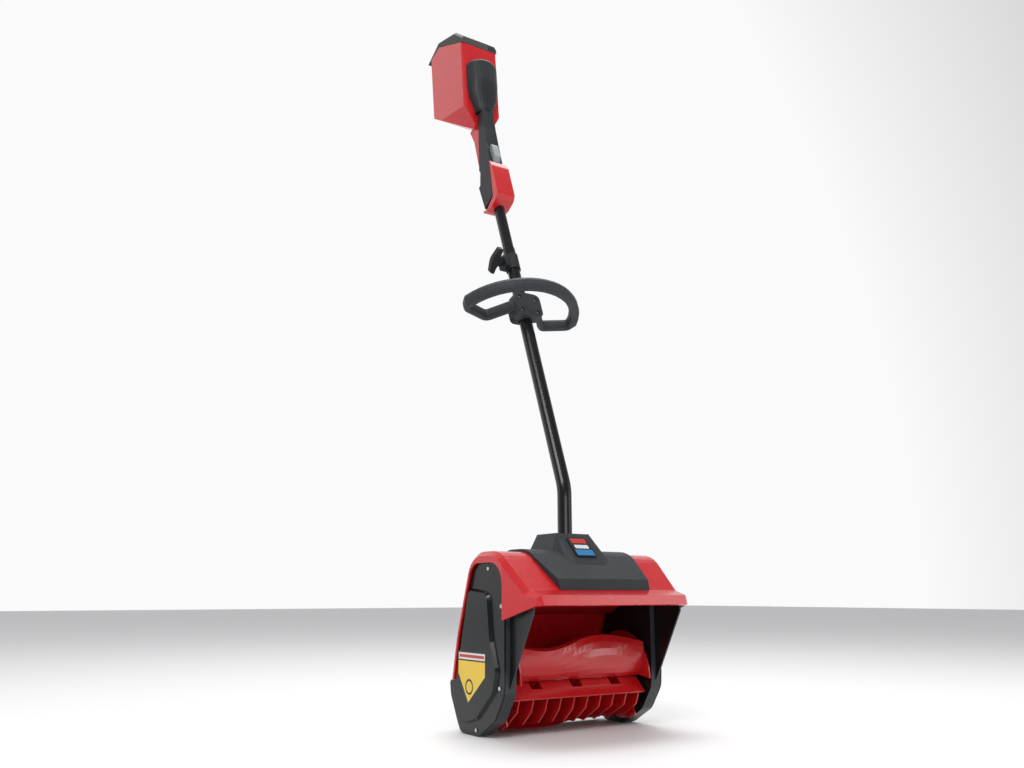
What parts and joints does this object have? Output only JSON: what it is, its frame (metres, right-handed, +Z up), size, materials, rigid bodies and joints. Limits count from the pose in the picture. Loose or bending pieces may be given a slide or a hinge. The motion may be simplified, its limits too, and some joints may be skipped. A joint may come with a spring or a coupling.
{
  "type": "cordless snow shovel",
  "caption": "Upright battery-powered snow thrower: hooded head with a curved paddle rotor on a bent telescoping shaft with a loop handle, trigger grip and rear battery.",
  "frame": {"origin": "middle of the bounding box's base, on the ground plane under the skids", "axes": "+Z up, +X to the tool's right end as seen from the front, -Y is the throwing front with the lip, +Y towards the person using it"},
  "size_m": [0.35, 0.6431, 1.5767],
  "materials": {
    "red_shell": "satin gloss moulded",
    "liner_red": "satin moulded",
    "rotor_rubber": "satin moulded",
    "dark_grey": "fine grain",
    "loop_grey": "soft grain",
    "gloss_black": "gloss",
    "matte_black": "matte",
    "black_tube": "gloss powder coat",
    "light_grey": "satin",
    "belt_rubber": "matte",
    "steel": "plated",
    "motor_can": "zinc plated",
    "label": "printed film"
  },
  "bodies": {
    "head": {"hood_shell": "red_shell", "motor_cover": "dark_grey", "label_plate": "label", "side_case_left": "gloss_black", "side_case_right": "gloss_black", "belt_cover": "gloss_black", "end_cover": "gloss_black", "cover_screw_left_1": "steel", "cover_screw_left_2": "steel", "cover_screw_left_3": "steel", "cover_screw_left_4": "steel", "cover_screw_right_1": "steel", "cover_screw_right_2": "steel", "cover_screw_right_3": "steel", "cover_screw_right_4": "steel", "bearing_left": "steel", "bearing_right": "steel", "chamber_liner": "liner_red", "scraper_blade": "matte_black", "motor_can": "motor_can", "motor_controller": "matte_black", "drive_belt": "belt_rubber", "lower_tube": "black_tube", "tube_socket": "matte_black", "clamp_collar": "matte_black"},
    "rotor": {"rotor_upper_paddle": "rotor_rubber", "rotor_lower_paddle": "rotor_rubber", "rotor_shaft": "steel", "rotor_pulley": "matte_black"},
    "motor_rotor": {"motor_shaft": "steel", "motor_pulley": "matte_black"},
    "knob": {"clamp_knob": "matte_black", "knob_bolt": "steel"},
    "aux_handle": {"loop_handle": "loop_grey", "clamp_rear_half": "matte_black", "loop_screw_1": "steel", "loop_screw_2": "steel", "loop_screw_3": "steel", "loop_screw_4": "steel"},
    "upper": {"upper_tube": "black_tube", "grip_left_half": "matte_black", "grip_right_half": "matte_black", "nose_cover": "red_shell", "seam_ring": "matte_black", "boot": "matte_black", "battery_housing": "red_shell", "switch_block": "matte_black", "terminal_block": "matte_black"},
    "trigger_body": {"trigger": "matte_black"},
    "lockout_body": {"lockout_paddle": "light_grey"},
    "battery": {"battery_pack": "dark_grey"},
    "latch": {"battery_latch": "matte_black"}
  },
  "joints": [
    {"name": "rotor_spin", "type": "hinge", "parent": "head", "child": "rotor", "pos_m": [0, -0.15821, 0.088], "axis": [1, 0, 0], "continuous": true},
    {"name": "motor_spin", "type": "hinge", "parent": "head", "child": "motor_rotor", "pos_m": [0, -0.18121, 0.253], "axis": [1, 0, 0], "continuous": true},
    {"name": "knob_turn", "type": "hinge", "parent": "head", "child": "knob", "pos_m": [0, 0.00428, 0.91602], "axis": [1, 0, 0], "range_deg": [0, 360]},
    {"name": "loop_slide", "type": "slide", "parent": "head", "child": "aux_handle", "axis": [0, 0.3387, 0.9409], "range_m": [-0.2, 0.06]},
    {"name": "shaft_slide", "type": "slide", "parent": "head", "child": "upper", "axis": [0, 0.3387, 0.9409], "range_m": [-0.11, 0]},
    {"name": "trigger_pull", "type": "hinge", "parent": "upper", "child": "trigger_body", "pos_m": [0, 0.10496, 1.14548], "axis": [1, 0, 0], "range_deg": [0, 9], "stiffness_Nm_per_rad": 0.35, "springref_deg": -6.88},
    {"name": "lockout_press", "type": "hinge", "parent": "upper", "child": "lockout_body", "pos_m": [0, 0.07538, 1.17845], "axis": [-1, 0, 0], "range_deg": [0, 6], "stiffness_Nm_per_rad": 0.4, "springref_deg": -6.88},
    {"name": "battery_lift", "type": "slide", "parent": "upper", "child": "battery", "axis": [0, 0.1045, 0.9945], "range_m": [0, 0.12]},
    {"name": "latch_press", "type": "slide", "parent": "battery", "child": "latch", "axis": [0, 0.9945, -0.1045], "range_m": [0, 0.003], "stiffness_N_per_m": 900, "springref_m": -0.001}
  ],
  "couplings": [
    {"joint": "motor_spin", "follows": "rotor_spin", "ratio": 2.9091}
  ]
}
